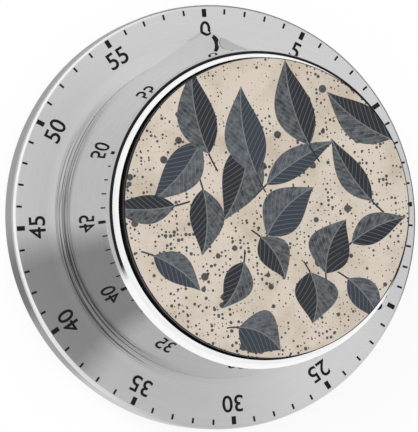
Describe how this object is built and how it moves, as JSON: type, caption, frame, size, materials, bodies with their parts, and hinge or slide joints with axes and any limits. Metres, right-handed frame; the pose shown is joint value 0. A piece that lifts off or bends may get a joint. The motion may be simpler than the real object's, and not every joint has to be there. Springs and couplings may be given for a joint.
{
  "type": "mechanical kitchen timer",
  "caption": "Round wind-up kitchen timer: flat steel minute flange, polished turning knob with a pointer beak and a printed face, magnetic back, and a spring movement with a bell inside.",
  "frame": {"origin": "centre of the flat back face, the face that rests on a table or sits against a steel door", "axes": "+Z out of the front along the knob's axis, +Y towards the zero of the minute scale, +X towards the 15 minute mark"},
  "size_m": [0.078, 0.078, 0.0335],
  "materials": {
    "flange_steel": "stamped stainless steel, fine circular brushing",
    "knob_steel": "drawn stainless steel, mirror polished",
    "bezel_steel": "stainless steel ring, mirror polished",
    "face_print": "cream printed face with a clear gloss coat",
    "black_moulding": "black moulded ABS, fine spark texture",
    "ferrite": "sintered ferrite magnet, dark grey",
    "zinc_steel": "bright zinc plated steel",
    "bell_steel": "nickel plated steel bell, bright",
    "spring_steel": "tempered spring steel, blue grey",
    "brass": "rolled brass, stamped"
  },
  "bodies": {
    "case": {"dial_flange": "flange_steel", "base_tray": "black_moulding", "back_cover": "black_moulding", "magnet_1": "ferrite", "magnet_2": "ferrite", "magnet_3": "ferrite", "cover_screw_1": "zinc_steel", "cover_screw_2": "zinc_steel", "cover_screw_3": "zinc_steel", "frame_screw_1": "zinc_steel", "frame_screw_2": "zinc_steel", "frame_screw_3": "zinc_steel", "frame_screw_4": "zinc_steel", "plate_screw_1": "zinc_steel", "plate_screw_2": "zinc_steel", "plate_screw_3": "zinc_steel", "plate_screw_4": "zinc_steel", "back_plate": "zinc_steel", "front_plate": "zinc_steel", "plate_pillar_1": "zinc_steel", "plate_pillar_2": "zinc_steel", "plate_pillar_3": "zinc_steel", "plate_pillar_4": "zinc_steel", "arbor_bush": "brass", "bell": "bell_steel", "bell_nut": "brass", "mainspring": "spring_steel", "spring_post": "zinc_steel", "hammer_spring": "spring_steel"},
    "knob": {"knob_shell": "knob_steel", "bezel_ring": "bezel_steel", "face_plate": "face_print", "knob_core": "black_moulding", "main_arbor": "zinc_steel", "great_wheel": "brass", "clutch_washer": "spring_steel", "trip_cam": "brass"},
    "second_arbor": {"second_pinion": "zinc_steel", "second_wheel": "brass"},
    "third_arbor": {"third_pinion": "zinc_steel", "third_wheel": "brass", "strike_star": "zinc_steel"},
    "escape_arbor": {"escape_pinion": "zinc_steel", "escape_wheel": "brass"},
    "verge": {"verge_arbor": "zinc_steel", "pallet_lever": "zinc_steel", "balance_bar": "zinc_steel"},
    "hammer": {"hammer_arbor": "zinc_steel", "hammer": "zinc_steel"}
  },
  "joints": [
    {"name": "knob_turn", "type": "hinge", "parent": "case", "child": "knob", "pos_m": [0, 0, 0.012], "axis": [0, 0, -1], "range_deg": [0, 354], "stiffness_Nm_per_rad": 0.004, "springref_deg": -85.94, "deforming": ["mainspring"]},
    {"name": "second_arbor_turn", "type": "hinge", "parent": "case", "child": "second_arbor", "pos_m": [-0.01225, 0, 0.012], "axis": [0, 0, -1], "continuous": true},
    {"name": "third_arbor_turn", "type": "hinge", "parent": "case", "child": "third_arbor", "pos_m": [-0.00866, 0.00987, 0.012], "axis": [0, 0, -1], "continuous": true},
    {"name": "escape_arbor_turn", "type": "hinge", "parent": "case", "child": "escape_arbor", "pos_m": [-0.00133, 0.01253, 0.012], "axis": [0, 0, -1], "continuous": true},
    {"name": "verge_swing", "type": "hinge", "parent": "case", "child": "verge", "pos_m": [0.00451, 0.01171, 0.012], "axis": [0, 0, -1], "range_deg": [-4, 4]},
    {"name": "hammer_swing", "type": "hinge", "parent": "case", "child": "hammer", "pos_m": [-0.01331, 0.01598, 0.012], "axis": [0, 0, -1], "range_deg": [-4, 1.5], "stiffness_Nm_per_rad": 0.002, "deforming": ["hammer_spring"]}
  ],
  "couplings": [
    {"joint": "second_arbor_turn", "follows": "knob_turn", "ratio": -6},
    {"joint": "third_arbor_turn", "follows": "knob_turn", "ratio": 36},
    {"joint": "escape_arbor_turn", "follows": "knob_turn", "ratio": -180}
  ]
}
